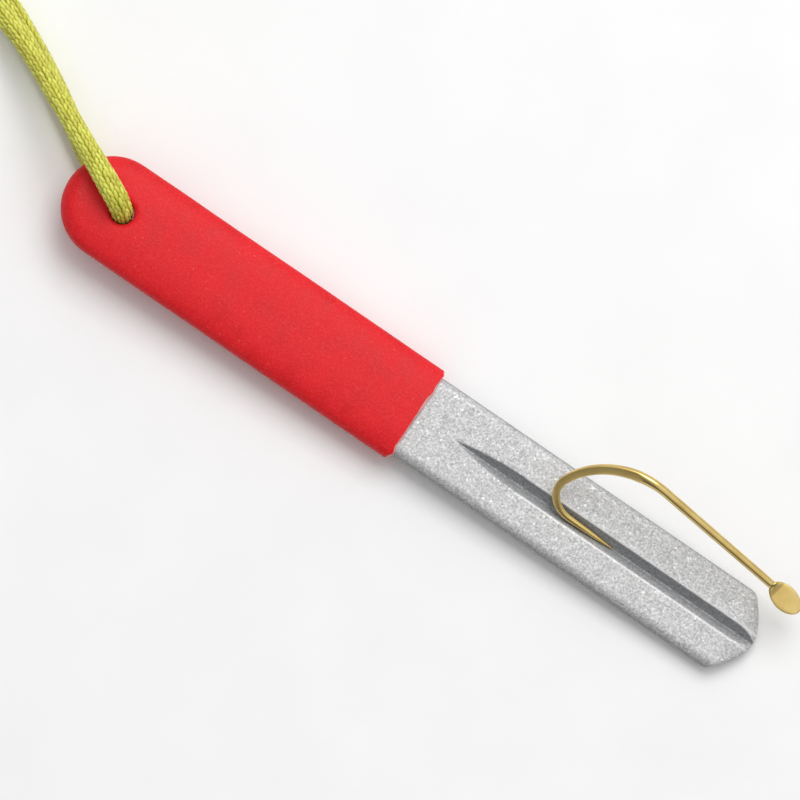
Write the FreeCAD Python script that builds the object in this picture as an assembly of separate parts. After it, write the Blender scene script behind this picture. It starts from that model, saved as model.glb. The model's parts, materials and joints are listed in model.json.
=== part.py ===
import FreeCAD, Part
import math
import os

from FreeCAD import Placement, Rotation, Vector

# A pocket fish-hook sharpener: an abrasive blade with a V-groove, a soft dipped grip over its tang,
# a lanyard through the grip, and the spade-end hook that is drawn along the groove.
# Lengths are in millimetres and angles in degrees.
#
# Tool frame: x towards the blade's tip, y to the left of it, z up out of the grooved face. Its origin
# is at mid-length, in the middle of the blade's thickness. Row frame: the tool lies on a surface at
# z = 0, on its tip and on the strand of lanyard under the grip, so it leans nose down by REST_TILT.

# Blade and tang
TOOL_LENGTH = 114.3
BLADE_WIDTH = 12.7
BLADE_THICKNESS = 3.0
PLATING = 0.1                # nickel and grit, on each side of the exposed steel only
BLADE_EDGE_RADIUS = 1.3      # of the long edges
TIP_DEPTH = 3.6              # the corners of the bluntly pointed end lie this far behind its tip
TIP_SHOULDER_DEPTH = 1.15    # and its outline half way out to them lies this far behind
TIP_CORNER_RADIUS = 2.0
THINNED_LENGTH = 3.5         # both faces curve in towards the tip over this length
THINNED_BY = 0.9
TANG_EDGE_RADIUS = 1.1
TANG_WIDTH = BLADE_WIDTH - 2 * PLATING
TANG_THICKNESS = BLADE_THICKNESS - 2 * PLATING
TIP_X = TOOL_LENGTH / 2

# Groove, ground in with the rim of a large wheel
GROOVE_LENGTH = 50.1
GROOVE_WIDTH = 2.5
GROOVE_DEPTH = 1.2
WHEEL_RADIUS = 50.0
RUN_OUT = math.sqrt(2 * WHEEL_RADIUS * GROOVE_DEPTH - GROOVE_DEPTH**2)
FULL_DEPTH_X = TIP_X - GROOVE_LENGTH + RUN_OUT
GROOVE_BOTTOM_Z = BLADE_THICKNESS / 2 - GROOVE_DEPTH

# Grip, dip-moulded over the tang
GRIP_LENGTH = 58.3
GRIP_WALL = 1.05
GRIP_EDGE_RADIUS = 2.2
GRIP_WIDTH = TANG_WIDTH + 2 * GRIP_WALL
GRIP_THICKNESS = TANG_THICKNESS + 2 * GRIP_WALL
GRIP_END_X = -TOOL_LENGTH / 2
GRIP_MOUTH_X = GRIP_END_X + GRIP_LENGTH

# Lanyard hole, through grip and tang
HOLE_DIAMETER = 3.8
HOLE_LIP_RADIUS = 0.8
HOLE_X = GRIP_END_X + 8.8

# Lanyard
CORD_DIAMETER = 3.0
CORD_GAP = 0.35              # between the grip and the strands above and below it
ARC_SHARE = 0.45             # of the shorter run beside a corner, taken up by the corner's arc
CORD_Z = CORD_DIAMETER / 2   # the middle of a strand that lies on the surface
STRAND_JOINT_Z = 5.8         # where the strands meet, inside the hole

# Routes of the strands: x and y from the hole's axis, z from the surface. The upper strand comes out
# of the grooved side and drops over the grip's end, and the lower one runs out beneath it. They part
# in a narrow loop and come together again at the knot.
UPPER_ROUTE = [
    (0.0, 0.0, STRAND_JOINT_Z),
    (0.0, 0.0, 7.9),
    (-0.7, 0.4, 9.7),
    (-2.3, 1.2, 10.8),
    (-5.6, 2.8, 11.0),
    (-11.4, 5.6, 10.4),
    (-17.8, 9.0, 7.5),
    (-26.0, 13.1, 5.0),
    (-36.5, 15.8, 3.8),
    (-48.0, 16.6, CORD_Z),
    (-60.0, 14.4, CORD_Z),
    (-71.0, 10.2, CORD_Z),
    (-80.0, 7.1, CORD_Z),
    (-87.0, 5.9, 2.2),
    (-92.3, 6.3, 3.2),
]
LOWER_ROUTE = [
    (0.0, 0.0, STRAND_JOINT_Z),
    (0.0, 0.0, 4.0),
    (-0.7, 0.4, 2.4),
    (-2.2, 1.1, CORD_Z),
    (-5.8, 2.9, CORD_Z),
    (-11.8, 6.4, CORD_Z),
    (-20.6, 11.8, CORD_Z),
    (-32.0, 17.2, CORD_Z),
    (-45.5, 21.8, CORD_Z),
    (-59.5, 22.9, CORD_Z),
    (-71.5, 19.2, CORD_Z),
    (-80.3, 13.9, CORD_Z),
    (-87.0, 10.8, 2.2),
    (-92.3, 9.8, 3.2),
]
KNOT_CENTRE = Vector(-98.8, 8.1, 4.5)
KNOT_HALF_SIZE = Vector(8.5, 6.7, 4.5)
TAIL_ROUTES = [
    [(-102.5, 9.6, 3.8), (-107.0, 10.4, 2.3), (-111.7, 12.8, CORD_Z), (-115.8, 16.4, CORD_Z)],
    [(-102.5, 6.4, 3.8), (-107.2, 5.6, 2.3), (-112.2, 5.2, CORD_Z), (-117.0, 6.4, CORD_Z)],
]

# Hook, in its own plane: s along the point, h from the point towards the shank
WIRE_DIAMETER = 1.3
POINT_LENGTH = 7.8
POINT_TIP_RADIUS = 0.04
BEND_RADIUS = 4.0            # next to the point
BEND_TURN = 104.0
SHOULDER_RADIUS = 10.9       # between the bend and the shank
SHANK_SLOPE = 6.9            # the shank closes on the point's line by this angle
SHANK_LENGTH = 20.4
FORGED_THICKNESS = 0.96      # the bend is pressed flat on both sides
SPADE_LENGTH = 5.8
SPADE_WIDTH = 3.7
SPADE_THICKNESS = 0.5
SPADE_OUTLINE = [(0.22, 0.78), (0.5, 1.0), (0.84, 0.62)]   # shares of its length and half width
SPADE_OVERLAP = 0.9          # of the spade's length, over the end of the shank
SPADE_TURN = 40.0            # of the spade's plate, out of the hook's plane
SPADE_DROOP = 13.0           # the spade points this much further in than the shank
HOOK_LEAN = 45.0             # from upright, about the groove
HOOK_PITCH = 6.0             # lays the underside of the tapered point along the groove
HOOK_TIP_X = TIP_X - 23.1
HOOK_CLEARANCE = 0.31        # between the point's tip and the bottom of the groove

# How the tool lies: the blade's back near its tip on the surface, the grip on the lanyard
GRIP_HEIGHT_AT_HOLE = CORD_DIAMETER + CORD_GAP
REST_TILT = math.degrees(math.asin(
    (GRIP_HEIGHT_AT_HOLE + (GRIP_THICKNESS - BLADE_THICKNESS) / 2) / (TIP_X - THINNED_LENGTH - HOLE_X)))
REST_ROTATION = Rotation(Vector(0, 1, 0), REST_TILT)

X = Vector(1, 0, 0)
Y = Vector(0, 1, 0)
Z = Vector(0, 0, 1)
TOLERANCE = 1e-6


def one_solid(shape):
    merged = shape.removeSplitter()
    assert len(merged.Solids) == 1, "a part has come apart"
    return merged.Solids[0]


# ---------------------------------------------------------------- blade and grip

def half_round_bar(start_x, end_x, width, thickness):
    """A flat bar along x, square at start_x and half round at end_x."""
    half = width / 2
    straight_end_x = end_x - half
    bottom_z = -thickness / 2
    low = Vector(start_x, -half, bottom_z)
    low_corner = Vector(straight_end_x, -half, bottom_z)
    high_corner = Vector(straight_end_x, half, bottom_z)
    high = Vector(start_x, half, bottom_z)
    outline = Part.Wire([
        Part.makeLine(low, low_corner),
        Part.Arc(low_corner, Vector(end_x, 0, bottom_z), high_corner).toShape(),
        Part.makeLine(high_corner, high),
        Part.makeLine(high, low),
    ])
    return Part.Face(outline).extrude(Vector(0, 0, thickness))


def rim_edges(bar, open_x):
    """The edges round the top and bottom faces of a bar, without those at its open end."""
    return [e for e in bar.Edges
            if is_level(e) and not all(abs(v.Point.x - open_x) < TOLERANCE for v in e.Vertexes)]


def is_level(edge):
    return abs(edge.Vertexes[0].Point.z - edge.Vertexes[-1].Point.z) < TOLERANCE


def tip_plan():
    """The blade's outline from above: straight sides, rounded corners and a blunt, curved point."""
    half = BLADE_WIDTH / 2
    corner_x = TIP_X - TIP_DEPTH
    shoulder_x = TIP_X - TIP_SHOULDER_DEPTH
    bottom_z = -BLADE_THICKNESS
    low = Vector(GRIP_MOUTH_X, -half, bottom_z)
    low_corner = Vector(corner_x, -half, bottom_z)
    high_corner = Vector(corner_x, half, bottom_z)
    high = Vector(GRIP_MOUTH_X, half, bottom_z)
    point = Part.BSplineCurve()
    point.interpolate([
        low_corner,
        Vector(shoulder_x, -half / 2, bottom_z),
        Vector(TIP_X, 0, bottom_z),
        Vector(shoulder_x, half / 2, bottom_z),
        high_corner,
    ])
    outline = Part.Wire([
        Part.makeLine(low, low_corner),
        point.toShape(),
        Part.makeLine(high_corner, high),
        Part.makeLine(high, low),
    ])
    plan = Part.Face(outline).extrude(Vector(0, 0, 2 * BLADE_THICKNESS))
    corners = [e for e in plan.Edges if all(abs(v.Point.x - corner_x) < TOLERANCE for v in e.Vertexes)]
    return plan.makeFillet(TIP_CORNER_RADIUS, corners)


def tip_profile():
    """The blade's outline from the side: both faces curve in over the last stretch."""
    half = BLADE_THICKNESS / 2
    radius = (THINNED_LENGTH**2 + THINNED_BY**2) / (2 * THINNED_BY)
    turn = math.asin(THINNED_LENGTH / radius)
    start_x = TIP_X - THINNED_LENGTH
    middle_x = start_x + radius * math.sin(turn / 2)
    middle_drop = radius * (1 - math.cos(turn / 2))
    side_y = -BLADE_WIDTH
    root = [Vector(GRIP_MOUTH_X, side_y, half), Vector(GRIP_MOUTH_X, side_y, -half)]
    start = [Vector(start_x, side_y, half), Vector(start_x, side_y, -half)]
    middle = [Vector(middle_x, side_y, half - middle_drop), Vector(middle_x, side_y, middle_drop - half)]
    end = [Vector(TIP_X, side_y, half - THINNED_BY), Vector(TIP_X, side_y, THINNED_BY - half)]
    outline = Part.Wire([
        Part.makeLine(root[1], root[0]),
        Part.makeLine(root[0], start[0]),
        Part.Arc(start[0], middle[0], end[0]).toShape(),
        Part.makeLine(end[0], end[1]),
        Part.Arc(end[1], middle[1], start[1]).toShape(),
        Part.makeLine(start[1], root[1]),
    ])
    return Part.Face(outline).extrude(Vector(0, 2 * BLADE_WIDTH, 0))


def exposed_blade():
    corner = Vector(GRIP_MOUTH_X, -BLADE_WIDTH / 2, -BLADE_THICKNESS / 2)
    bar = Part.makeBox(TIP_X - GRIP_MOUTH_X, BLADE_WIDTH, BLADE_THICKNESS, corner)
    long_edges = [e for e in bar.Edges if e.Length > 2 * BLADE_WIDTH]
    return bar.makeFillet(BLADE_EDGE_RADIUS, long_edges).common(tip_plan()).common(tip_profile())


def mirrored_bar(width, thickness, edge_radius, end_x):
    """A bar from the grip's mouth back to a half-round end at end_x, with rounded edges."""
    bar = half_round_bar(-GRIP_MOUTH_X, -end_x, width, thickness)
    bar = bar.makeFillet(edge_radius, rim_edges(bar, -GRIP_MOUTH_X))
    bar.rotate(Vector(0, 0, 0), Z, 180)
    return bar


def tang():
    return mirrored_bar(TANG_WIDTH, TANG_THICKNESS, TANG_EDGE_RADIUS, GRIP_END_X + GRIP_WALL)


def lanyard_hole():
    height = 2 * GRIP_THICKNESS
    return Part.makeCylinder(HOLE_DIAMETER / 2, height, Vector(HOLE_X, 0, -height / 2))


def groove_cutter():
    """The V that the wheel leaves: straight from FULL_DEPTH_X to the tip, and curving up behind it."""
    rise = 2 * GROOVE_DEPTH
    half_width = GROOVE_WIDTH / 2 * rise / GROOVE_DEPTH
    apex = Vector(FULL_DEPTH_X, 0, GROOVE_BOTTOM_Z)
    section = Part.makePolygon([
        apex,
        apex + Vector(0, half_width, rise),
        apex + Vector(0, -half_width, rise),
        apex,
    ])
    straight = Part.Face(section).extrude(Vector(GROOVE_LENGTH, 0, 0))
    wheel_centre = apex + Vector(0, 0, WHEEL_RADIUS)
    sweep = 2 * math.degrees(math.asin(RUN_OUT / WHEEL_RADIUS))
    run_out = Part.Face(section).revolve(wheel_centre, Y, sweep)
    return straight.fuse(run_out)


def sharpening_blade():
    blade = exposed_blade().cut(groove_cutter())
    return one_solid(blade.fuse(tang()).cut(lanyard_hole()))


def grip_sleeve():
    outside = mirrored_bar(GRIP_WIDTH, GRIP_THICKNESS, GRIP_EDGE_RADIUS, GRIP_END_X)
    pierced = outside.cut(lanyard_hole())
    lips = [e for e in pierced.Edges
            if hasattr(e.Curve, "Radius") and abs(e.Curve.Radius - HOLE_DIAMETER / 2) < TOLERANCE
            and abs(abs(e.CenterOfMass.z) - GRIP_THICKNESS / 2) < TOLERANCE]
    return one_solid(pierced.makeFillet(HOLE_LIP_RADIUS, lips).cut(tang()))


# ---------------------------------------------------------------- hook

def heading(angle):
    return Vector(math.cos(math.radians(angle)), math.sin(math.radians(angle)), 0)


def arc_on(start, start_angle, turn, radius):
    """An arc that leaves start at start_angle and turns clockwise; returns the edge and its end."""
    centre = start + heading(start_angle - 90) * radius
    middle = centre + heading(start_angle + 90 - turn / 2) * radius
    end = centre + heading(start_angle + 90 - turn) * radius
    return Part.Arc(start, middle, end).toShape(), end


def round_wire(edges, radius, direction):
    start = edges[0].Vertexes[0].Point
    profile = Part.Wire(Part.makeCircle(radius, start, direction))
    return Part.Wire(edges).makePipeShell([profile], True, False)


def spade(neck, direction):
    """The flattened end: an egg-shaped plate, lying in the hook's plane until it is turned."""
    ahead = heading(direction - SPADE_DROOP)
    across = Vector(-ahead.y, ahead.x, 0)
    root = neck - ahead * SPADE_OVERLAP
    half = SPADE_WIDTH / 2
    end = root + ahead * SPADE_LENGTH
    left = [root + ahead * SPADE_LENGTH * share + across * half * wide for share, wide in SPADE_OUTLINE]
    right = [root + ahead * SPADE_LENGTH * share - across * half * wide for share, wide in SPADE_OUTLINE]
    outline = Part.BSplineCurve()
    outline.interpolate([root] + left + [end] + right[::-1], PeriodicFlag=True)
    plate = Part.Face(Part.Wire(outline.toShape())).extrude(Vector(0, 0, SPADE_THICKNESS))
    plate.translate(Vector(0, 0, -SPADE_THICKNESS / 2))
    plate.rotate(neck, heading(direction), -SPADE_TURN)
    return plate


def flat_hook():
    """The hook in its own plane, its point's tip at the origin and the point running along -x."""
    point_base = Vector(-POINT_LENGTH, 0, 0)
    bend, bend_end = arc_on(point_base, 180, BEND_TURN, BEND_RADIUS)
    shoulder_turn = 180 + SHANK_SLOPE - BEND_TURN
    shoulder, shank_start = arc_on(bend_end, 180 - BEND_TURN, shoulder_turn, SHOULDER_RADIUS)
    neck = shank_start + heading(-SHANK_SLOPE) * SHANK_LENGTH
    radius = WIRE_DIAMETER / 2
    curved = round_wire([bend, shoulder], radius, X)
    around = curved.BoundBox
    low = Vector(around.XMin, around.YMin, -FORGED_THICKNESS / 2)
    forged = curved.common(Part.makeBox(around.XLength, around.YLength, FORGED_THICKNESS, low))
    point = Part.makeCone(radius, POINT_TIP_RADIUS, POINT_LENGTH, point_base, X)
    shank = Part.makeCylinder(radius, SHANK_LENGTH, shank_start, heading(-SHANK_SLOPE))
    return one_solid(forged.fuse([point, shank, spade(neck, -SHANK_SLOPE)]))


def fish_hook():
    hook = flat_hook()
    hook.rotate(Vector(0, 0, 0), X, 90 - HOOK_LEAN)
    hook.rotate(Vector(0, 0, 0), Y, HOOK_PITCH)
    hook.translate(Vector(HOOK_TIP_X, 0, GROOVE_BOTTOM_Z + HOOK_CLEARANCE))
    return hook


# ---------------------------------------------------------------- lanyard

def cord_tube(name, route, origin):
    """A tube along straight runs that are joined by tangent arcs, as large as the runs allow."""
    points = [origin + Vector(*place) for place in route]
    edges, radii = [], []
    last = points[0]
    for before, corner, after in zip(points, points[1:], points[2:]):
        into, out = corner - before, after - corner
        reach = ARC_SHARE * min(into.Length, out.Length)
        turn = into.getAngle(out)
        radii.append(reach / math.tan(turn / 2))
        into.normalize()
        out.normalize()
        arc_start, arc_end = corner - into * reach, corner + out * reach
        inward = out - into
        inward.normalize()
        middle = corner + inward * radii[-1] * (1 / math.cos(turn / 2) - 1)
        edges.append(Part.LineSegment(last, arc_start).toShape())
        edges.append(Part.Arc(arc_start, middle, arc_end).toShape())
        last = arc_end
    edges.append(Part.LineSegment(last, points[-1]).toShape())
    path = Part.Wire(edges)
    section = Part.Wire(Part.makeCircle(CORD_DIAMETER / 2, points[0], points[1] - points[0]))
    tube = path.makePipeShell([section], True, False)
    expected = math.pi * CORD_DIAMETER**2 / 4 * path.Length
    print("%s: %.1f long, volume %.4f of expected, radii %s"
          % (name, path.Length, tube.Volume / expected, " ".join("%.1f" % r for r in radii)))
    return tube


def lanyard_knot(origin):
    """The overhand knot as a flattened egg, with the two cut ends of the cord beyond it."""
    stretch = FreeCAD.Matrix()
    stretch.scale(KNOT_HALF_SIZE)
    body = Part.makeSphere(1).transformGeometry(stretch)
    body.translate(origin + KNOT_CENTRE)
    tails = [cord_tube("tail", route, origin) for route in TAIL_ROUTES]
    return one_solid(body.fuse(tails))


# ---------------------------------------------------------------- the whole tool at rest

def resting_placement(solids):
    """Leans the tool on the surface, with the middle of its outline over the origin."""
    lean = Placement(Vector(0, 0, 0), REST_ROTATION)
    box = Part.makeCompound(solids).transformed(lean.toMatrix()).optimalBoundingBox()
    return Placement(Vector(-box.Center.x, -box.Center.y, -box.ZMin), REST_ROTATION)


def tool_at_rest():
    level = {"sharpening_blade": sharpening_blade(), "grip_sleeve": grip_sleeve(), "fish_hook": fish_hook()}
    placement = resting_placement(list(level.values()))
    nodes = {name: solid.transformed(placement.toMatrix()) for name, solid in level.items()}
    hole = placement.multVec(Vector(HOLE_X, 0, 0))
    cord_origin = Vector(hole.x, hole.y, 0)
    nodes["lanyard_upper_strand"] = cord_tube("upper strand", UPPER_ROUTE, cord_origin)
    nodes["lanyard_lower_strand"] = cord_tube("lower strand", LOWER_ROUTE, cord_origin)
    nodes["lanyard_knot"] = lanyard_knot(cord_origin)
    print("tilt %.4f, lanyard hole at %.3f %.3f %.3f" % (REST_TILT, hole.x, hole.y, hole.z))
    print("groove's direction", placement.Rotation.multVec(X), "and face normal", placement.Rotation.multVec(Z))
    return nodes


if __name__ == "__main__":
    os.makedirs("parts", exist_ok=True)
    for node, shape in tool_at_rest().items():
        shape.exportStep("parts/%s.step" % node)
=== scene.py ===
import json
import math

import bmesh
import bpy
import numpy as np
from mathutils import Matrix, Vector, noise


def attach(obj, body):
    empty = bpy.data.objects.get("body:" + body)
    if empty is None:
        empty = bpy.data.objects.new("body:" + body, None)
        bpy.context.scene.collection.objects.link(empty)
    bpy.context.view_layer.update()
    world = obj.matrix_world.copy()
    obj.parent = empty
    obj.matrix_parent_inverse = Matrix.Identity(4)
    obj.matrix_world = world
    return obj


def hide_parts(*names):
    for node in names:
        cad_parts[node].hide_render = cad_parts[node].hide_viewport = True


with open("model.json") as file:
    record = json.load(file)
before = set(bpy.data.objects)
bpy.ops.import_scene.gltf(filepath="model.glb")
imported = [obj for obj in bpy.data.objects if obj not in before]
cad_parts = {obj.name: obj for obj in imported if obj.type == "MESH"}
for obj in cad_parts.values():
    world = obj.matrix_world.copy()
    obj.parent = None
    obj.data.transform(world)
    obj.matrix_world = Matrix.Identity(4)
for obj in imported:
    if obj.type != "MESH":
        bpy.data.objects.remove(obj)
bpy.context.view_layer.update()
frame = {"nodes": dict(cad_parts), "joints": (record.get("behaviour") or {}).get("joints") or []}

# A pocket fish-hook sharpener at rest on a table, with a hook in its groove. Everything is in metres,
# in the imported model's frame. The tool's own axes come from its joints: TOOL_X runs along the groove
# to the blade's tip, TOOL_Z out of the grooved face, and the middle of the lanyard hole is their origin.

MM = 0.001
JOINTS = {joint["name"]: joint for joint in frame["joints"]}
TOOL_X = Vector(JOINTS["hook_stroke"]["axis"]).normalized()
TOOL_Y = Vector((0, 1, 0))
TOOL_Z = TOOL_X.cross(TOOL_Y)
HOLE = Vector(JOINTS["lanyard_swing"]["pos_m"])
TOOL_AXES = Matrix((TOOL_X, TOOL_Y, TOOL_Z)).transposed()


def on_tool(x, y, z):
    """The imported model's place for a place along the tool's own axes."""
    return HOLE + TOOL_AXES @ Vector((x, y, z))


def highest_corner(node):
    """The highest corner of a CAD node along the tool's own axes."""
    points = np.array([v.co for v in frame["nodes"][node].data.vertices]) - np.array(HOLE)
    return Vector((points @ np.array(TOOL_AXES)).max(0))


BLADE_HIGH = highest_corner("sharpening_blade")
GRIP_HIGH = highest_corner("grip_sleeve")
TIP_X = BLADE_HIGH.x
FACE_Z = BLADE_HIGH.z
MOUTH_X = GRIP_HIGH.x


# ---------------------------------------------------------------- camera

CAMERA_TILT = math.radians(8)        # towards the tool's near edge, from square on to the grooved face
CAMERA_ROLL = math.radians(34.35)    # the tool runs down to the right by this much
CAMERA_DISTANCE = 1.1
FIELD = 110.5 * MM                   # across the picture, at the tool
SENSOR = 36.0
AIM_BEHIND_TIP = 59.3 * MM
AIM_SIDE = 0.3 * MM


def make_camera():
    towards = TOOL_Z * math.cos(CAMERA_TILT) - TOOL_Y * math.sin(CAMERA_TILT)
    across = TOOL_Y * math.cos(CAMERA_TILT) + TOOL_Z * math.sin(CAMERA_TILT)
    right = TOOL_X * math.cos(CAMERA_ROLL) + across * math.sin(CAMERA_ROLL)
    up = across * math.cos(CAMERA_ROLL) - TOOL_X * math.sin(CAMERA_ROLL)
    data = bpy.data.cameras.new("camera")
    data.sensor_width = SENSOR
    data.lens = SENSOR * CAMERA_DISTANCE / FIELD
    data.clip_start = 0.05
    data.clip_end = 10
    camera = bpy.data.objects.new("camera", data)
    bpy.context.scene.collection.objects.link(camera)
    aim = on_tool(TIP_X - AIM_BEHIND_TIP, AIM_SIDE, FACE_Z)
    turn = Matrix((right, up, towards)).transposed().to_4x4()
    camera.matrix_world = Matrix.Translation(aim + towards * CAMERA_DISTANCE) @ turn
    bpy.context.scene.camera = camera
    return right, up, towards, aim


PICTURE_RIGHT, PICTURE_UP, TO_CAMERA, AIM = make_camera()


# ---------------------------------------------------------------- node helpers

def new_material(name):
    material = bpy.data.materials.new(name)
    material.use_nodes = True
    nodes = material.node_tree.nodes
    links = material.node_tree.links
    return material, nodes, links, nodes["Principled BSDF"]


def add_node(nodes, kind, **inputs):
    node = nodes.new(kind)
    for name, value in inputs.items():
        node.inputs[name.replace("_", " ")].default_value = value
    return node


def ramp(nodes, *stops):
    """A colour ramp through pairs of a place and a colour."""
    node = nodes.new("ShaderNodeValToRGB")
    elements = node.color_ramp.elements
    while len(elements) < len(stops):
        elements.new(0.5)
    for element, (place, colour) in zip(elements, stops):
        element.position = place
        element.color = (*colour, 1)
    return node


def grey(value):
    return (value, value, value)


def maths(nodes, links, operation, first, second):
    node = nodes.new("ShaderNodeMath")
    node.operation = operation
    for socket, value in zip(node.inputs, (first, second)):
        if isinstance(value, (int, float)):
            socket.default_value = value
        else:
            links.new(value, socket)
    return node.outputs[0]


def mix_colours(nodes, links, factor, first, second, blend="MIX"):
    node = nodes.new("ShaderNodeMix")
    node.data_type = "RGBA"
    node.blend_type = blend
    for socket, value in zip((node.inputs[0], node.inputs[6], node.inputs[7]), (factor, first, second)):
        if isinstance(value, bpy.types.NodeSocket):
            links.new(value, socket)
        else:
            socket.default_value = value if isinstance(value, float) else (*value, 1)
    return node.outputs[2]


def bump(nodes, links, height, distance, strength=1.0, normal=None):
    node = add_node(nodes, "ShaderNodeBump", Strength=strength, Distance=distance)
    links.new(height, node.inputs["Height"])
    if normal is not None:
        links.new(normal, node.inputs["Normal"])
    return node.outputs["Normal"]


def point_attribute(nodes, name):
    """Reads a colour that mark() stored on the mesh."""
    node = nodes.new("ShaderNodeAttribute")
    node.attribute_name = name
    return node


def object_texture(nodes, links, kind, scale, **inputs):
    """A 3-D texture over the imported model's frame, with scale in features per metre."""
    place = nodes.new("ShaderNodeTexCoord")
    texture = add_node(nodes, kind, Scale=scale, **inputs)
    links.new(place.outputs["Object"], texture.inputs["Vector"])
    return texture


# ---------------------------------------------------------------- materials

def grit_material():
    """Diamond grit in nickel: pale grains with grey gaps and a few glints, darker in the groove as worn
    grit and painted shade, with painted shade on the bar's long sides and a painted highlight on the
    groove's rims.
    """
    material, nodes, links, shader = new_material("grit")
    grains = object_texture(nodes, links, "ShaderNodeTexVoronoi", 3600)
    patches = object_texture(nodes, links, "ShaderNodeTexNoise", 380, Detail=3.0)
    fine = object_texture(nodes, links, "ShaderNodeTexNoise", 3300, Detail=5.0)
    shade = nodes.new("ShaderNodeSeparateColor")
    links.new(grains.outputs["Color"], shade.inputs["Color"])
    tone = ramp(nodes, (0.0, grey(0.44)), (0.2, grey(0.50)), (0.6, grey(0.54)),
                (0.95, grey(0.58)), (1.0, grey(0.72)))
    links.new(shade.outputs[0], tone.inputs[0])
    speckle = ramp(nodes, (0.33, grey(0.74)), (0.5, grey(0.98)), (0.67, grey(1.24)))
    links.new(fine.outputs["Fac"], speckle.inputs[0])
    cloud = ramp(nodes, (0.3, grey(0.97)), (0.7, grey(1.03)))
    links.new(patches.outputs["Fac"], cloud.inputs[0])
    mottled = mix_colours(nodes, links, 1.0, speckle.outputs[0], cloud.outputs[0], "MULTIPLY")
    grain_colour = mix_colours(nodes, links, 1.0, tone.outputs[0], mottled, "MULTIPLY")
    # The blade's attribute holds, in its first channel, wear and painted shade, which turn the grit dark
    # grey, and in its second the painted highlight on the groove's rims.
    wear_shade_and_highlight = nodes.new("ShaderNodeSeparateColor")
    links.new(point_attribute(nodes, "wear_shade_and_highlight").outputs["Color"], wear_shade_and_highlight.inputs["Color"])
    worn_and_shaded, rim, _ = wear_shade_and_highlight.outputs
    worn_and_shaded_colour = mix_colours(nodes, links, 1.0, (0.27, 0.275, 0.285), mottled, "MULTIPLY")
    worn_and_shaded_grit = mix_colours(nodes, links, worn_and_shaded, grain_colour, worn_and_shaded_colour)
    # A painted highlight, pale grey, along the groove's rims.
    links.new(mix_colours(nodes, links, rim, worn_and_shaded_grit, grey(0.82)), shader.inputs["Base Color"])
    shader.inputs["Metallic"].default_value = 0.35
    rough = ramp(nodes, (0.0, grey(0.66)), (0.9, grey(0.52)), (1.0, grey(0.32)))
    links.new(shade.outputs[1], rough.inputs[0])
    links.new(rough.outputs[0], shader.inputs["Roughness"])
    relief = bump(nodes, links, grains.outputs["Distance"], -0.02 * MM, 0.5)
    links.new(bump(nodes, links, fine.outputs["Fac"], 0.035 * MM, 0.7, relief), shader.inputs["Normal"])
    return material


def vinyl_material():
    """Soft red vinyl: satin, finely grained and mottled, with a little dust and a painted highlight, pale
    pink, on the cut rim.
    """
    material, nodes, links, shader = new_material("vinyl")
    mottle = object_texture(nodes, links, "ShaderNodeTexNoise", 300, Detail=5.0)
    fine = object_texture(nodes, links, "ShaderNodeTexNoise", 3600, Detail=3.0)
    body = ramp(nodes, (0.25, (0.60, 0.006, 0.010)), (0.5, (0.68, 0.008, 0.013)),
                (0.8, (0.74, 0.013, 0.019)))
    links.new(mottle.outputs["Fac"], body.inputs[0])
    bloom = ramp(nodes, (0.44, grey(0.0)), (0.7, grey(0.34)))
    links.new(fine.outputs["Fac"], bloom.inputs[0])
    bloomed = mix_colours(nodes, links, bloom.outputs[0], body.outputs[0], (0.92, 0.05, 0.06))
    dust = object_texture(nodes, links, "ShaderNodeTexVoronoi", 1100)
    specks = ramp(nodes, (0.045, grey(0.5)), (0.09, grey(0.0)))
    links.new(dust.outputs["Distance"], specks.inputs[0])
    thin = ramp(nodes, (0.5, grey(0.0)), (0.58, grey(1.0)))
    links.new(mottle.outputs["Fac"], thin.inputs[0])
    speck_share = maths(nodes, links, "MULTIPLY", specks.outputs[0], thin.outputs[0])
    dusted = mix_colours(nodes, links, speck_share, bloomed, (0.95, 0.4, 0.36))
    # A painted highlight, pale pink, on the cut rim at the mouth.
    cut = point_attribute(nodes, "cut").outputs["Fac"]
    links.new(mix_colours(nodes, links, cut, dusted, (0.92, 0.48, 0.46)), shader.inputs["Base Color"])
    rough = ramp(nodes, (0.3, grey(0.46)), (0.7, grey(0.6)))
    links.new(mottle.outputs["Fac"], rough.inputs[0])
    links.new(rough.outputs[0], shader.inputs["Roughness"])
    shader.inputs["Specular IOR Level"].default_value = 0.24
    shader.inputs["Subsurface Weight"].default_value = 0.05
    shader.inputs["Subsurface Radius"].default_value = (1.0, 0.2, 0.1)
    shader.inputs["Subsurface Scale"].default_value = 0.6 * MM
    links.new(bump(nodes, links, fine.outputs["Fac"], 0.06 * MM, 0.8), shader.inputs["Normal"])
    return material


def gold_material():
    """Gold plating: bright on the drawn wire, satin where it has been pressed flat."""
    material, nodes, links, shader = new_material("gold")
    stain = object_texture(nodes, links, "ShaderNodeTexNoise", 420, Detail=3.0)
    fine = object_texture(nodes, links, "ShaderNodeTexNoise", 9000, Detail=2.0)
    tone = ramp(nodes, (0.3, (0.68, 0.49, 0.17)), (0.55, (0.79, 0.59, 0.22)), (0.8, (0.84, 0.65, 0.27)))
    links.new(stain.outputs["Fac"], tone.inputs[0])
    links.new(tone.outputs[0], shader.inputs["Base Color"])
    shader.inputs["Metallic"].default_value = 1.0
    drawn = ramp(nodes, (0.3, grey(0.22)), (0.7, grey(0.13)))
    pressed = ramp(nodes, (0.3, grey(0.42)), (0.7, grey(0.34)))
    links.new(stain.outputs["Fac"], drawn.inputs[0])
    links.new(stain.outputs["Fac"], pressed.inputs[0])
    flattened = point_attribute(nodes, "pressed").outputs["Fac"]
    rough = mix_colours(nodes, links, flattened, drawn.outputs[0], pressed.outputs[0])
    links.new(rough, shader.inputs["Roughness"])
    links.new(bump(nodes, links, fine.outputs["Fac"], 0.002 * MM, 0.3), shader.inputs["Normal"])
    return material


THREAD_PHASE = 38.0          # radians of a sine across one stitch, for its six threads


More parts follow.
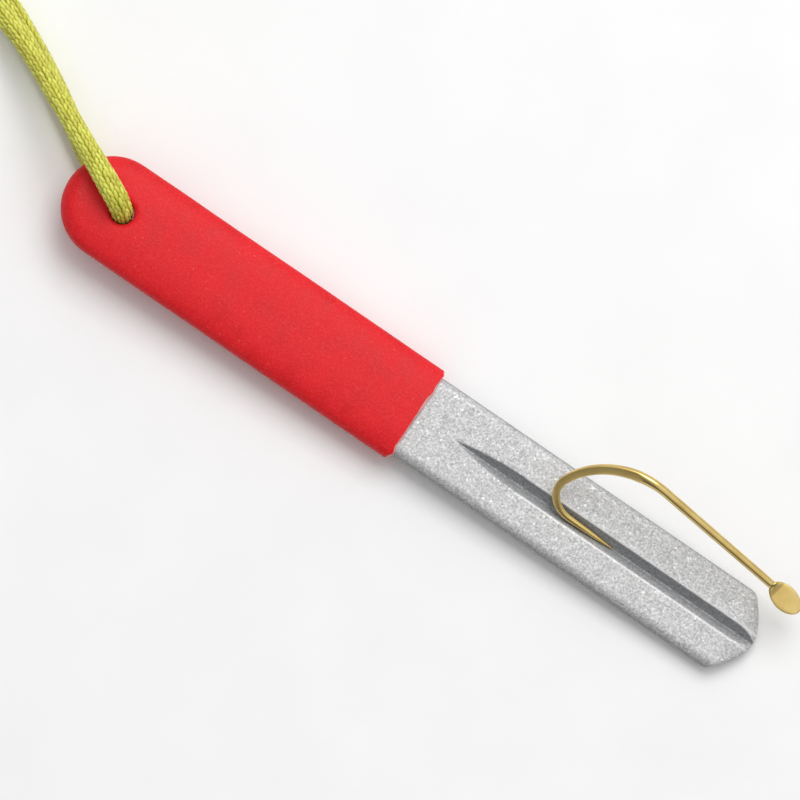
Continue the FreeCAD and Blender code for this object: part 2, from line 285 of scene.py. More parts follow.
def braid_material():
    """Satin yarn: each stitch has its own tone at random, with a painted highlight along its crest and far
    end, and painted shade, brown, in its gaps.
    """
    material, nodes, links, shader = new_material("braid")
    stitch_light_and_tone = nodes.new("ShaderNodeSeparateColor")
    links.new(point_attribute(nodes, "stitch_light_and_tone").outputs["Color"], stitch_light_and_tone.inputs["Color"])
    height, across, chance = stitch_light_and_tone.outputs
    # Painted shade, dark brown, low on each stitch and in its gaps, and a painted highlight, pale, on its
    # crest and far end.
    depth = ramp(nodes, (0.0, (0.10, 0.065, 0.004)), (0.3, (0.23, 0.21, 0.01)),
                 (0.7, (0.52, 0.51, 0.033)), (1.0, (0.86, 0.86, 0.17)))
    links.new(height, depth.inputs[0])
    shade = ramp(nodes, (0.0, (0.84, 0.80, 0.66)), (0.5, grey(1.0)), (1.0, (1.15, 1.18, 1.5)))
    links.new(chance, shade.inputs[0])
    colour = mix_colours(nodes, links, 1.0, depth.outputs[0], shade.outputs[0], "MULTIPLY")
    links.new(colour, shader.inputs["Base Color"])
    shader.inputs["Roughness"].default_value = 0.36
    shader.inputs["Sheen Weight"].default_value = 0.08
    shader.inputs["Sheen Roughness"].default_value = 0.4
    phase = maths(nodes, links, "MULTIPLY", across, THREAD_PHASE)
    threads = maths(nodes, links, "SINE", phase, 0.0)
    links.new(bump(nodes, links, threads, 0.012 * MM, 0.6), shader.inputs["Normal"])
    return material


def table_material():
    material, nodes, links, shader = new_material("table")
    grain = object_texture(nodes, links, "ShaderNodeTexNoise", 60, Detail=4.0)
    tone = ramp(nodes, (0.3, grey(0.86)), (0.7, grey(0.89)))
    links.new(grain.outputs["Fac"], tone.inputs[0])
    links.new(tone.outputs[0], shader.inputs["Base Color"])
    shader.inputs["Roughness"].default_value = 0.7
    return material


GRIT = grit_material()
VINYL = vinyl_material()
GOLD = gold_material()
BRAID = braid_material()


# ---------------------------------------------------------------- mesh helpers

def mesh_piece(name, points, faces, material, body):
    mesh = bpy.data.meshes.new(name)
    mesh.from_pydata([tuple(p) for p in points], [], faces)
    mesh.materials.append(material)
    mesh.shade_smooth()
    return place_piece(name, mesh, body)


def place_piece(name, mesh, body):
    piece = bpy.data.objects.new(name, mesh)
    bpy.context.scene.collection.objects.link(piece)
    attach(piece, body)
    return piece


def mark(mesh, name, colours):
    """Stores a colour for every point of a mesh, for its material to read."""
    layer = mesh.attributes.new(name, "FLOAT_COLOR", "POINT")
    layer.data.foreach_set("color", np.asarray(colours, np.float32).ravel())


def mesh_points(mesh):
    points = np.zeros(len(mesh.vertices) * 3, np.float32)
    mesh.vertices.foreach_get("co", points)
    return points.reshape(-1, 3).astype(float)


def mesh_normals(mesh):
    normals = np.zeros(len(mesh.vertices) * 3, np.float32)
    mesh.vertex_normals.foreach_get("vector", normals)
    return normals.reshape(-1, 3).astype(float)


def to_tool(points):
    """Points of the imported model's frame, along the tool's own axes."""
    return (points - np.array(HOLE)) @ np.array(TOOL_AXES)


def from_tool(points):
    """And back."""
    return points @ np.array(TOOL_AXES).T + np.array(HOLE)


def move_points(mesh, place):
    """Moves a mesh's points to places along the tool's own axes."""
    mesh.vertices.foreach_set("co", from_tool(place).astype(np.float32).ravel())
    mesh.update()


def remeshed(node, voxel, cut_x=None, keep_front=True):
    """A fine even mesh of a CAD node, or of the part of it before or behind a cut across the tool."""
    mesh = frame["nodes"][node].data.copy()
    if cut_x is not None:
        shape = bmesh.new()
        shape.from_mesh(mesh)
        bmesh.ops.remove_doubles(shape, verts=shape.verts, dist=1e-7)
        cut = bmesh.ops.bisect_plane(
            shape, geom=shape.verts[:] + shape.edges[:] + shape.faces[:], plane_co=on_tool(cut_x, 0, 0),
            plane_no=TOOL_X, clear_inner=keep_front, clear_outer=not keep_front)
        rim = [e for e in cut["geom_cut"] if isinstance(e, bmesh.types.BMEdge)]
        bmesh.ops.holes_fill(shape, edges=rim)
        shape.to_mesh(mesh)
        shape.free()
    if voxel is None:
        return mesh
    holder = bpy.data.objects.new("remesh", mesh)
    bpy.context.scene.collection.objects.link(holder)
    modifier = holder.modifiers.new("remesh", "REMESH")
    modifier.mode = "VOXEL"
    modifier.voxel_size = voxel
    modifier.use_smooth_shade = True
    fine = bpy.data.meshes.new_from_object(holder.evaluated_get(bpy.context.evaluated_depsgraph_get()))
    bpy.data.objects.remove(holder)
    fine.materials.clear()
    return fine


# ---------------------------------------------------------------- lanyard

CORD_DIAMETER = 3.0 * MM
CORD_Z = CORD_DIAMETER / 2
CORD_FROM = Vector((HOLE.x, HOLE.y, 0))
STRAND_JOINT_Z = 0.0058

UPPER_ROUTE = [
    (0.0, 0.0, STRAND_JOINT_Z),
    (0.0, 0.0, 0.0079),
    (-0.0007, 0.0004, 0.0097),
    (-0.0023, 0.0012, 0.0108),
    (-0.0056, 0.0028, 0.0110),
    (-0.0114, 0.0056, 0.0104),
    (-0.0178, 0.0090, 0.0075),
    (-0.0260, 0.0131, 0.0050),
    (-0.0365, 0.0158, 0.0038),
    (-0.0480, 0.0166, CORD_Z),
    (-0.0600, 0.0144, CORD_Z),
    (-0.0710, 0.0102, CORD_Z),
    (-0.0800, 0.0071, CORD_Z),
    (-0.0870, 0.0059, 0.0022),
    (-0.0923, 0.0063, 0.0032),
]
LOWER_ROUTE = [
    (0.0, 0.0, STRAND_JOINT_Z),
    (0.0, 0.0, 0.0040),
    (-0.0007, 0.0004, 0.0024),
    (-0.0022, 0.0011, CORD_Z),
    (-0.0058, 0.0029, CORD_Z),
    (-0.0118, 0.0064, CORD_Z),
    (-0.0206, 0.0118, CORD_Z),
    (-0.0320, 0.0172, CORD_Z),
    (-0.0455, 0.0218, CORD_Z),
    (-0.0595, 0.0229, CORD_Z),
    (-0.0715, 0.0192, CORD_Z),
    (-0.0803, 0.0139, CORD_Z),
    (-0.0870, 0.0108, 0.0022),
    (-0.0923, 0.0098, 0.0032),
]

COLUMNS = 16                 # of stitches round the cord
STITCH_PITCH = 0.98 * MM
STITCH_HALF = (0.74 * MM, 0.29 * MM, 0.21 * MM)      # half its length, width and height
STITCH_FULL = 0.8            # its outline's exponent, 1 for an ellipse and 0 for a box
STITCH_RADIUS = 1.27 * MM    # from the cord's middle to a stitch's
STITCH_RISE = 0.12           # each stitch climbs over the root of the next
STITCH_SLANT = 0.15          # across, for each unit along, one way and then the other
UNEVEN_PLACE = 0.035 * MM    # how far a stitch strays along the cord,
UNEVEN_ANGLE = 0.02          # round it, in radians,
UNEVEN_SIZE = 0.05           # and from its usual size
LIT_BY_HEIGHT = 0.7          # share of its paleness that comes from its crest, the rest from its far end
CORE_RADIUS = 1.3 * MM
CORE_SIDES = 24
CORE_STEP = 0.4 * MM
PRESSED_WIDER = 0.17         # where it bends over the grip's hole, the cord is this much wider
PRESSED_AT = 6.5 * MM        # from its start, inside the hole
PRESSED_OVER = 5 * MM
TUCKED_OVER = 0.8 * MM       # where two lengths of cord meet, each end dips under the other
TUCKED = 0.16                # by this share of its radius
MELTED_END = 0.7 * MM        # a cut end is melted to a dome of this height
MELTED_OVER = 1.6 * MM       # and the cord narrows towards it over this length
MELTED = 0.4                 # by this share of its radius
DOME = np.array([0.3, 0.6, 0.85, 1.0])     # the dome's rings, as shares of its height
DOME_ROUND = 0.96            # from 0 for a cylinder to 1 for a dome that closes to a point
YARN_GAP = (0.1, 0.5, 0.5, 1.0)            # stitch colours of the core, between its stitches: painted shade, dark brown
MELTED_YARN = (0.5, 0.5, 0.3, 1.0)         # and on the dome


def route_line(name, route):
    """The points along the smooth curve that has the route as its control points."""
    curve = bpy.data.curves.new(name, "CURVE")
    curve.dimensions = "3D"
    spline = curve.splines.new("NURBS")
    spline.points.add(len(route) - 1)
    for point, place in zip(spline.points, route):
        point.co = (*(CORD_FROM + Vector(place)), 1)
    spline.order_u = 3
    spline.use_endpoint_u = True
    spline.resolution_u = 16
    holder = bpy.data.objects.new(name, curve)
    bpy.context.scene.collection.objects.link(holder)
    mesh = bpy.data.meshes.new_from_object(holder.evaluated_get(bpy.context.evaluated_depsgraph_get()))
    line = mesh_points(mesh)
    bpy.data.objects.remove(holder)
    bpy.data.meshes.remove(mesh)
    return line


class Line:
    """A path with its length along it and a frame that turns as little as it can."""

    def __init__(self, points):
        steps = np.diff(points, axis=0)
        keep = np.r_[True, np.linalg.norm(steps, axis=1) > 1e-7]
        self.points = points[keep]
        steps = np.diff(self.points, axis=0)
        self.along = np.r_[0, np.cumsum(np.linalg.norm(steps, axis=1))]
        tangents = np.gradient(self.points, self.along, axis=0)
        tangents /= np.linalg.norm(tangents, axis=1)[:, None]
        side = np.cross(tangents[0], (0, 0, 1))
        if np.linalg.norm(side) < 0.1:
            side = np.array((0.0, 1.0, 0.0))
        sides = []
        for tangent in tangents:
            side = side - tangent * side.dot(tangent)
            side /= np.linalg.norm(side)
            sides.append(side)
        self.sides = np.array(sides)
        self.tops = np.cross(tangents, self.sides)
        self.length = self.along[-1]
        self.spread = np.zeros(len(self.along))    # share by which the cord is wider than round

    def at(self, along, angle, radius):
        """Points at distances along the line, angles round it and distances from it."""
        def read(columns):
            return np.stack([np.interp(along, self.along, columns[:, k]) for k in range(3)], -1)
        across = np.cos(angle) * (1 + np.interp(along, self.along, self.spread))
        out = across[..., None] * read(self.sides) + np.sin(angle)[..., None] * read(self.tops)
        return read(self.points) + radius[..., None] * out


def unit_stitch():
    """A spindle along x, with its faces, as a ring of eight points at each of four stations."""
    sides = 8
    angles = np.arange(sides) * 2 * math.pi / sides
    points = [(-1.0, 0.0, 0.0)]
    for x in (-0.8, -0.3, 0.3, 0.8):
        width = math.sqrt(1 - x * x) ** STITCH_FULL
        points += [(x, width * math.cos(a), width * math.sin(a)) for a in angles]
    points.append((1.0, 0.0, 0.0))
    faces = []
    for k in range(sides):
        after = (k + 1) % sides
        faces.append((0, 1 + after, 1 + k))
        for ring in range(3):
            first = 1 + ring * sides
            faces.append((first + k, first + after, first + sides + after, first + sides + k))
        faces.append((1 + 3 * sides + k, 1 + 3 * sides + after, len(points) - 1))
    return np.array(points), faces


def narrowed(along, end, melted):
    """The share of its radius that a cord keeps at distances along it."""
    far, over = (MELTED, MELTED_OVER) if melted else (TUCKED, TUCKED_OVER)
    from_start = np.clip(1 - along / TUCKED_OVER, 0, 1) ** 2
    from_end = np.clip(1 - (end - along) / over, 0, 1) ** 2
    return 1 - TUCKED * from_start - far * from_end


def cord_stitches(line, draw, end, melted):
    """All the stitches round a cord: their points, faces and colours."""
    unit, unit_faces = unit_stitch()
    half_long, half_wide, half_high = STITCH_HALF
    rows = math.ceil(line.length / STITCH_PITCH)
    row, column = np.meshgrid(np.arange(rows), np.arange(COLUMNS), indexing="ij")
    middle = (row + 0.25 + 0.5 * (column % 2)) * STITCH_PITCH
    middle = middle + draw.normal(0, UNEVEN_PLACE, middle.shape)
    angle = column * 2 * math.pi / COLUMNS + draw.normal(0, UNEVEN_ANGLE, middle.shape)
    slant = np.where(column % 2, STITCH_SLANT, -STITCH_SLANT)
    size = draw.normal(1.0, UNEVEN_SIZE, middle.shape)
    rise = unit[:, 0] * half_long * size[..., None]
    across = unit[:, 1] * half_wide + slant[..., None] * rise
    out = STITCH_RADIUS + unit[:, 2] * half_high * size[..., None] + STITCH_RISE * rise
    along = (middle[..., None] + rise).clip(0, end)
    radius = out * narrowed(along, end, melted)
    points = line.at(along, angle[..., None] + across / STITCH_RADIUS, radius)
    forward, sideways, outward = ((unit + 1) / 2).T
    every = np.ones(size.shape + (1,))
    # Each stitch's painted light: a highlight towards its crest and far end, shade towards its root.
    lit = (outward * LIT_BY_HEIGHT + forward * (1 - LIT_BY_HEIGHT)) * every
    chance = draw.random(size.shape)[..., None] * np.ones(len(unit))
    colours = np.stack([lit, sideways * every, chance, np.ones_like(lit)], -1)
    faces = [tuple(k * len(unit) + i for i in face) for k in range(rows * COLUMNS) for face in unit_faces]
    return points.reshape(-1, 3), faces, colours.reshape(-1, 4)


def tube_faces(rings, sides):
    """The faces of a tube that is closed at both ends, for points that go ring by ring."""
    faces = []
    for low in range(0, (rings - 1) * sides, sides):
        for i in range(sides):
            after = (i + 1) % sides
            faces.append((low + i, low + after, low + sides + after, low + sides + i))
    last = (rings - 1) * sides
    return faces + [tuple(reversed(range(sides))), tuple(range(last, last + sides))]


def cord_core(line, end, melted):
    """The yarn behind a cord's stitches: its points, faces and colours."""
    stations = np.linspace(0, end, math.ceil(end / CORE_STEP))
    radii = CORE_RADIUS * narrowed(stations, end, melted)
    colours = np.tile(YARN_GAP, (len(stations), 1))
    if melted:
        stations = np.r_[stations, end + MELTED_END * DOME]
        radii = np.r_[radii, radii[-1] * np.sqrt(1 - DOME_ROUND * DOME**2)]
        colours = np.vstack([colours, np.tile(MELTED_YARN, (len(DOME), 1))])
    around = np.arange(CORE_SIDES) * 2 * math.pi / CORE_SIDES
    points = line.at(*np.meshgrid(stations, around, indexing="ij"), np.tile(radii[:, None], CORE_SIDES))
    faces = tube_faces(len(stations), CORE_SIDES)
    return points.reshape(-1, 3), faces, np.repeat(colours, CORE_SIDES, axis=0)


def joined(parts):
    """One set of points, faces and colours out of several."""
    points, faces, colours = [], [], []
    shift = 0
    for some_points, some_faces, some_colours in parts:
        points.append(some_points)
        colours.append(some_colours)
        faces += [tuple(i + shift for i in face) for face in some_faces]
        shift += len(some_points)
    return np.vstack(points), faces, np.vstack(colours)


def braided_cord(line, draw, melted=False):
    """A braided cord along a line, tucked in at its ends or melted at its far one."""
    end = line.length - MELTED_END * melted
    return joined([cord_stitches(line, draw, end, melted), cord_core(line, end, melted)])


def braided_piece(name, cords, node):
    points, faces, colours = joined(cords)
    piece = mesh_piece(name, points, faces, BRAID, "lanyard")
    mark(piece.data, "stitch_light_and_tone", colours)
    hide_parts(node)
    return piece


# The two cords run side by side into one overhand knot, and out of it as two short tails.
TAIL_ROUTES = [
    [
        (-0.1052, 0.0098, 0.0030),
        (-0.1080, 0.0106, 0.0021),
        (-0.1117, 0.0128, CORD_Z),
        (-0.1158, 0.0164, CORD_Z),
    ],
    [
        (-0.1052, 0.0062, 0.0030),
        (-0.1082, 0.0055, 0.0021),
        (-0.1122, 0.0052, CORD_Z),
        (-0.1170, 0.0064, CORD_Z),
    ],
]
KNOT_BEADS = 90              # along each cord
KNOT_LOOSE_SIZE = 3.6 * MM   # scale of the open knot that is drawn up
KNOT_LOOSE_END = 2.12        # its curve's parameter runs between minus and plus this value
KNOT_LOOSE_SLIM = 0.55       # and the curve is narrowed to this share in two directions
KNOT_LOOSE_OFFSET = 0.55     # each cord lies this many diameters to one side of the curve
KNOT_CORD_LENGTH = 48 * MM   # of each cord, once the knot is tight
KNOT_STEP = KNOT_CORD_LENGTH / (KNOT_BEADS - 1)
KNOT_CORD_DIAMETER = 2.8 * MM
KNOT_HELD = 6                # beads at each end that keep to the way the cord comes in or goes out
KNOT_LAP = 1.0 * MM          # the knot's cords overlap the strands and tails by this length
KNOT_STEPS = 1600
KNOT_PASSES = 3              # in each step
KNOT_TIGHTENING = 0.7        # share of the steps in which the knot is drawn up
KNOT_SETTLE = 0.004 * MM     # how far the tight knot may sink in each pass
KNOT_SEARCH = 8              # steps between searches for beads that have come close
KNOT_CLOSE = 1.6             # beads within this many diameters are close,
KNOT_NEIGHBOUR = 1.3         # unless so few diameters apart along one cord
KNOT_PUSH = 0.32             # share of an overlap that one pass pushes each bead out
KNOT_EVENING = 0.06          # share of a bend that one pass takes out


def evenly(points, count):
    """Points at even steps along the polyline through the given ones."""
    along = np.r_[0, np.cumsum(np.linalg.norm(np.diff(points, axis=0), axis=1))]
    places = np.linspace(0, along[-1], count)
    return np.stack([np.interp(places, along, points[:, k]) for k in range(3)], -1)


def loose_knot(middle):
    """Two cords side by side along the open overhand knot (t^5 - 10t, t^3 - 3t, t^4 - 4t^2)."""
    t = np.linspace(-KNOT_LOOSE_END, KNOT_LOOSE_END, 600)
    long, wide, high = (t**5 - 10 * t) * KNOT_LOOSE_SLIM, t**3 - 3 * t, (t**4 - 4 * t**2) * KNOT_LOOSE_SLIM
    core = evenly(-np.stack([long, wide, high], -1) * KNOT_LOOSE_SIZE, KNOT_BEADS) + middle
    core[:, 2] += KNOT_CORD_DIAMETER - core[:, 2].min()
    offset = Line(core).sides * KNOT_CORD_DIAMETER * KNOT_LOOSE_OFFSET
    return np.vstack([core - offset, core + offset])


def drawn_together(beads, step):
    """Moves each bead of a chain towards a step from its neighbours, and evens out the bends."""
    for odd in (0, 1):
        first = np.arange(odd, len(beads) - 1, 2)
        link = beads[first + 1] - beads[first]
        size = np.linalg.norm(link, axis=1)[:, None]
        shift = 0.5 * (size - step) / size * link
        beads[first] += shift
        beads[first + 1] -= shift
    beads[1:-1] += KNOT_EVENING * (beads[:-2] + beads[2:] - 2 * beads[1:-1])


def straight_on(end, before):
    """The held beads, from just before a cord's end and on, the way it comes from the point before."""
    way = np.subtract(end, before)
    way /= np.linalg.norm(way)
    return end + np.outer(np.arange(KNOT_HELD) * KNOT_STEP - KNOT_LAP, way)


def tight_knot(entries, exits):
    """Draws the loose knot up between its held ends, with the cords kept a diameter apart."""
    count = KNOT_BEADS
    beads = loose_knot((entries.mean((0, 1)) + exits.mean((0, 1))) / 2)
    held = np.arange(KNOT_HELD)
    ends = np.r_[held, count + held, count - 1 - held, 2 * count - 1 - held]
    starts, stops = beads[ends].copy(), np.vstack([*entries, *exits])
    loose_step = np.linalg.norm(np.diff(beads[:count], axis=0), axis=1).mean()
    first, second = np.triu_indices(2 * count, 1)
    same_cord = first // count == second // count
    beads_apart = second - first
    for turn in range(KNOT_STEPS):
        drawn = min(1.0, turn / (KNOT_STEPS * KNOT_TIGHTENING))
        step = loose_step + (KNOT_STEP - loose_step) * drawn
        if turn % KNOT_SEARCH == 0:
            apart = np.linalg.norm(beads[first] - beads[second], axis=1)
            reach = math.ceil(KNOT_NEIGHBOUR * KNOT_CORD_DIAMETER / step)
            neighbours = same_cord & (beads_apart <= reach)
            close = (apart < KNOT_CLOSE * KNOT_CORD_DIAMETER) & ~neighbours
            one, other = first[close], second[close]
        for _ in range(KNOT_PASSES):
            between = beads[one] - beads[other]
            apart = np.linalg.norm(between, axis=1)
            overlap = np.clip(KNOT_CORD_DIAMETER - apart, 0, None)
            push = (KNOT_PUSH * overlap / (apart + 1e-9))[:, None] * between
            for k in range(3):
                pushed = np.bincount(one, push[:, k], 2 * count)
                pushed -= np.bincount(other, push[:, k], 2 * count)
                beads[:, k] += pushed
            drawn_together(beads[:count], step)
            drawn_together(beads[count:], step)
            sunk = beads[:, 2] - KNOT_SETTLE * (drawn == 1)
            beads[:, 2] = np.maximum(sunk, KNOT_CORD_DIAMETER / 2)
            beads[ends] = starts * (1 - drawn) + stops * drawn
    return beads[:count], beads[count:]


def make_lanyard():
    draw = np.random.default_rng(7)
    upper_line = Line(route_line("upper_route", UPPER_ROUTE))
    lower_line = Line(route_line("lower_route", LOWER_ROUTE))
    upper_line.spread = PRESSED_WIDER * np.exp(-((upper_line.along - PRESSED_AT) / PRESSED_OVER) ** 2)
    upper = braided_piece("upper_strand", [braided_cord(upper_line, draw)], "lanyard_upper_strand")
    lower = braided_piece("lower_strand", [braided_cord(lower_line, draw)], "lanyard_lower_strand")
    entries = np.array([straight_on(route[-1], route[-2]) for route in (UPPER_ROUTE, LOWER_ROUTE)])
    exits = np.array([straight_on(route[0], route[1]) for route in TAIL_ROUTES])
    tied = []
    for beads, tail in zip(tight_knot(entries, exits), TAIL_ROUTES):
        line = Line(route_line("tied", beads[::2].tolist() + tail[1:]))
        tied.append(braided_cord(line, draw, melted=True))
    knot = braided_piece("knot", tied, "lanyard_knot")


make_lanyard()


# ---------------------------------------------------------------- grip

GRIP_VOXEL = 0.22 * MM
HOLE_RADIUS = 1.9 * MM
HOLE_SQUEEZE = 0.28 * MM     # the soft rim of the lanyard hole closes on the cord by this much
HOLE_REACH = 1.6 * MM        # and the vinyl round it follows over this distance
GRIP_ROUND = 2.2 * MM        # edge radius of the grip's solid
GRIP_CROWN = 2.7             # exponent of the rounded section that replaces it, from 2 for an ellipse
CROWN_KEPT = 0.995           # the crown stops just short of the grip's sides, so that it keeps a height
SWELL = 0.04 * MM            # the skin rises and falls by this much
BROAD_SWELLS, FINE_SWELLS = 90, 260        # in each metre
FINE_SWELL_SHARE = 0.4
MOUTH_REACH = 2.5 * MM       # the cut shapes the grip this far back from its mouth
MOUTH_SLANT = 0.28 * MM      # the cut mouth leans back from the blade by this much
MOUTH_WAVE = 0.3 * MM        # and wanders by this much
MOUTH_WAVES_ACROSS, MOUTH_WAVES_UP = 700, 500
MOUTH_CORNER = 0.2 * MM      # its corners draw back by this much,
CORNER_FROM = 5.9 * MM       # from this distance off the middle
CORNER_OVER = 1.4 * MM
CUT_NEAR_MOUTH = 0.4         # the painted highlight on the cut rim shows where at_mouth() is above this value
CUT_FACING, CUT_FADE = 0.5, 0.3            # and where the surface looks along the tool


def crowned(place):
    """How far up the crowned section reaches, as a share of the solid's, at each point."""
    half_width, half_height = GRIP_HIGH.y, GRIP_HIGH.z
    across = np.clip(np.abs(place[:, 1]), 0, half_width)
    over = np.clip(across - half_width + GRIP_ROUND, 0, GRIP_ROUND)
    solid = half_height - GRIP_ROUND + np.sqrt(GRIP_ROUND**2 - over**2)
    crown = half_height * (1 - (across / half_width * CROWN_KEPT) ** GRIP_CROWN) ** (1 / GRIP_CROWN)
    return np.clip(crown / solid, 0, 1)


def squeeze_hole(place):
    """Closes the grooved side of the lanyard hole on its cord."""
    from_axis = np.hypot(place[:, 0], place[:, 1])
    grooved_side = np.clip(place[:, 2] / MM, 0, 1)
    near_rim = np.clip(1 - (from_axis - HOLE_RADIUS) / HOLE_REACH, 0, 1)
    place[:, :2] *= 1 - (HOLE_SQUEEZE * grooved_side * near_rim / from_axis.clip(MM))[:, None]


def swelled(point):
    """How far the skin stands off its even shape at a point."""
    broad = noise.noise(Vector(point) * BROAD_SWELLS)
    return (broad + FINE_SWELL_SHARE * noise.noise(Vector(point) * FINE_SWELLS)) * SWELL


def at_mouth(place):
    """From 1 at the grip's mouth to 0 at the end of the cut's reach."""
    return np.clip(1 - (MOUTH_X - place[:, 0]) / MOUTH_REACH, 0, 1) ** 2


def mouth_shift(place):
    """How far the cut mouth strays along the tool from a square one."""
    wave = [noise.noise(Vector((0, y * MOUTH_WAVES_ACROSS, z * MOUTH_WAVES_UP))) for _, y, z in place]
    corner = np.clip((np.abs(place[:, 1]) - CORNER_FROM) / CORNER_OVER, 0, 1) ** 2
    above = np.maximum(np.abs(place[:, 2]) - FACE_Z, np.abs(place[:, 1]) - BLADE_HIGH.y)
    slant = np.clip(above / (GRIP_HIGH.z - FACE_Z), 0, 1)
    return np.array(wave) * MOUTH_WAVE - corner * MOUTH_CORNER - slant * MOUTH_SLANT


def make_grip():
    mesh = remeshed("grip_sleeve", GRIP_VOXEL)
    place = to_tool(mesh_points(mesh))
    place[:, 2] *= crowned(place)
    squeeze_hole(place)
    move_points(mesh, place)
    swells = np.array([swelled(point) for point in place])
    place = to_tool(from_tool(place) + mesh_normals(mesh) * swells[:, None])
    near_mouth = at_mouth(place)
    place[:, 0] += near_mouth * mouth_shift(place)
    move_points(mesh, place)
    # The cut rim at the mouth is marked for a painted highlight.
    facing = mesh_normals(mesh) @ np.array(TOOL_X)
    cut = np.where(near_mouth > CUT_NEAR_MOUTH, np.clip((facing - CUT_FACING) / CUT_FADE, 0, 1), 0)
    mark(mesh, "cut", np.stack([cut, cut, cut, np.ones_like(cut)], -1))
    mesh.materials.append(VINYL)
    grip = place_piece("grip", mesh, "sharpener")
    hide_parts("grip_sleeve")


make_grip()


# ---------------------------------------------------------------- blade

BLADE_VOXEL = 0.15 * MM
BLADE_CUT_X = MOUTH_X - 0.6 * MM           # inside the grip, where fine blade turns into plain tang
GRAIN = 0.30 * MM
GRAIN_RELIEF = 0.012 * MM
GRAIN_LOW = 0.45             # height of the lowest grains, as a share of the highest's
GRAIN_SIDES = 2.6            # how steeply a grain rises from the gaps round it
CHIPS = 0.25                 # height of the finer noise on top,
CHIPS_IN_GRAIN = 3.1         # which is finer by this many times
COARSE_OVER = 4 * MM         # the grit is coarser at the near edge, and evens out over this length
COARSE_LEAST = 0.6           # from the full relief to this share of it
GROOVE_REACH = 1.7 * MM      # the groove and its rims lie within this distance of the middle
GROOVE_HALF_WIDTH = 1.25 * MM
GROOVE_DEPTH = 1.2 * MM
GROOVE_FACING = 0.3          # its surfaces look out of the face by at least this much
FULL_GROOVE_X = TIP_X - 39 * MM
EDGE_SOFTENING = 4           # smoothing passes over the blade's sharp edges
THINNED_LENGTH = 3.5 * MM    # the face curves down towards the tip over this length
THINNED_BY = 0.9 * MM
WORN_SHADED_BELOW = 0.1 * MM        # the groove's walls are painted darker, as worn grit and painted shade, from this far below the face
WORN_SHADED_LEAST = 0.2             # the near wall's darkening, wear and painted shade, starts at this share at its rim,
WORN_SHADED_GROWTH = 0.7            # and grows with this power of its depth
EDGE_SHADE = 0.85             # painted shade on the bar's long sides,
EDGE_FACING, EDGE_FADE = 0.7, 0.25         # where they look across the tool
RIM_HIGHLIGHT = 0.8
RIM_HIGH = 0.14 * MM         # the painted highlight along the groove's rim, above and below the face
RIM_WIDE = 0.3 * MM          # and across the groove
GROUND_OFF = 0.6             # share of the grit's relief taken away where it is painted worn and shaded


def grain_height(point):
    """How far a grain of grit stands out: flat-topped, each to its own height, with gaps between."""
    distances, centres = noise.voronoi(point / GRAIN)
    own = noise.cell(centres[0] * 7.3)     # the factor brings neighbouring grains into separate cells
    edge = min(1.0, (distances[1] - distances[0]) * GRAIN_SIDES)
    top = GRAIN_LOW + (1 - GRAIN_LOW) * abs(own)
    return edge * top + CHIPS * noise.noise(point / GRAIN * CHIPS_IN_GRAIN)


def face_height(x):
    """The height of the blade's grooved face at distances along the tool."""
    radius = (THINNED_LENGTH**2 + THINNED_BY**2) / (2 * THINNED_BY)
    into = np.clip(x - TIP_X + THINNED_LENGTH, 0, THINNED_LENGTH)
    return FACE_Z - radius + np.sqrt(radius**2 - into**2)


def softened(mesh, passes, chosen):
    """Smooths the chosen vertices of a mesh with their neighbours."""
    shape = bmesh.new()
    shape.from_mesh(mesh)
    shape.verts.ensure_lookup_table()
    some = [shape.verts[k] for k in np.flatnonzero(chosen)]
    every_way = {"use_axis_x": True, "use_axis_y": True, "use_axis_z": True}
    for _ in range(passes):
        bmesh.ops.smooth_vert(shape, verts=some, factor=0.5, **every_way)
    shape.to_mesh(mesh)
    shape.free()


def blade_wear_shade_and_highlight(place, normals):
    """How far the grit is worn and painted in shade, in the groove and on the bar's long sides, and how
    bright the painted highlight on the groove's rim is, from 0 to 1 at each point.
    """
    off_middle = np.abs(place[:, 1])
    depth = face_height(place[:, 0]) - place[:, 2]
    in_groove = (off_middle < GROOVE_REACH) & (normals @ np.array(TOOL_Z) > GROOVE_FACING)
    sunk = np.clip(depth / WORN_SHADED_BELOW, 0, 1)
    share_down = np.clip(depth / GROOVE_DEPTH, 0, 1)
    # In the groove the grit is painted dark, as wear and painted shade: the wall on the +y side, which
    # faces away from the light, from its rim, and the near wall more with depth.
    near_wall = WORN_SHADED_LEAST + (1 - WORN_SHADED_LEAST) * share_down**WORN_SHADED_GROWTH
    worn_and_shaded = np.where(place[:, 1] > 0, sunk, near_wall) * (share_down > 0)
    worn_and_shaded = np.where(in_groove, worn_and_shaded, 0.0) * sunk
    # The bar's long sides are painted dark as painted shade.
    long_side = np.clip((np.abs(normals @ np.array(TOOL_Y)) - EDGE_FACING) / EDGE_FADE, 0, 1)
    worn_and_shaded = np.where(off_middle > GROOVE_REACH, EDGE_SHADE * long_side, worn_and_shaded)
    # A painted highlight along the groove's rims, near the face.
    at_face = np.clip(1 - np.abs(depth) / RIM_HIGH, 0, 1)
    at_rim = np.clip(1 - np.abs(off_middle - GROOVE_HALF_WIDTH) / RIM_WIDE, 0, 1)
    rim = np.where(in_groove & (place[:, 0] > FULL_GROOVE_X), at_face * at_rim, 0.0)
    return worn_and_shaded, rim * RIM_HIGHLIGHT


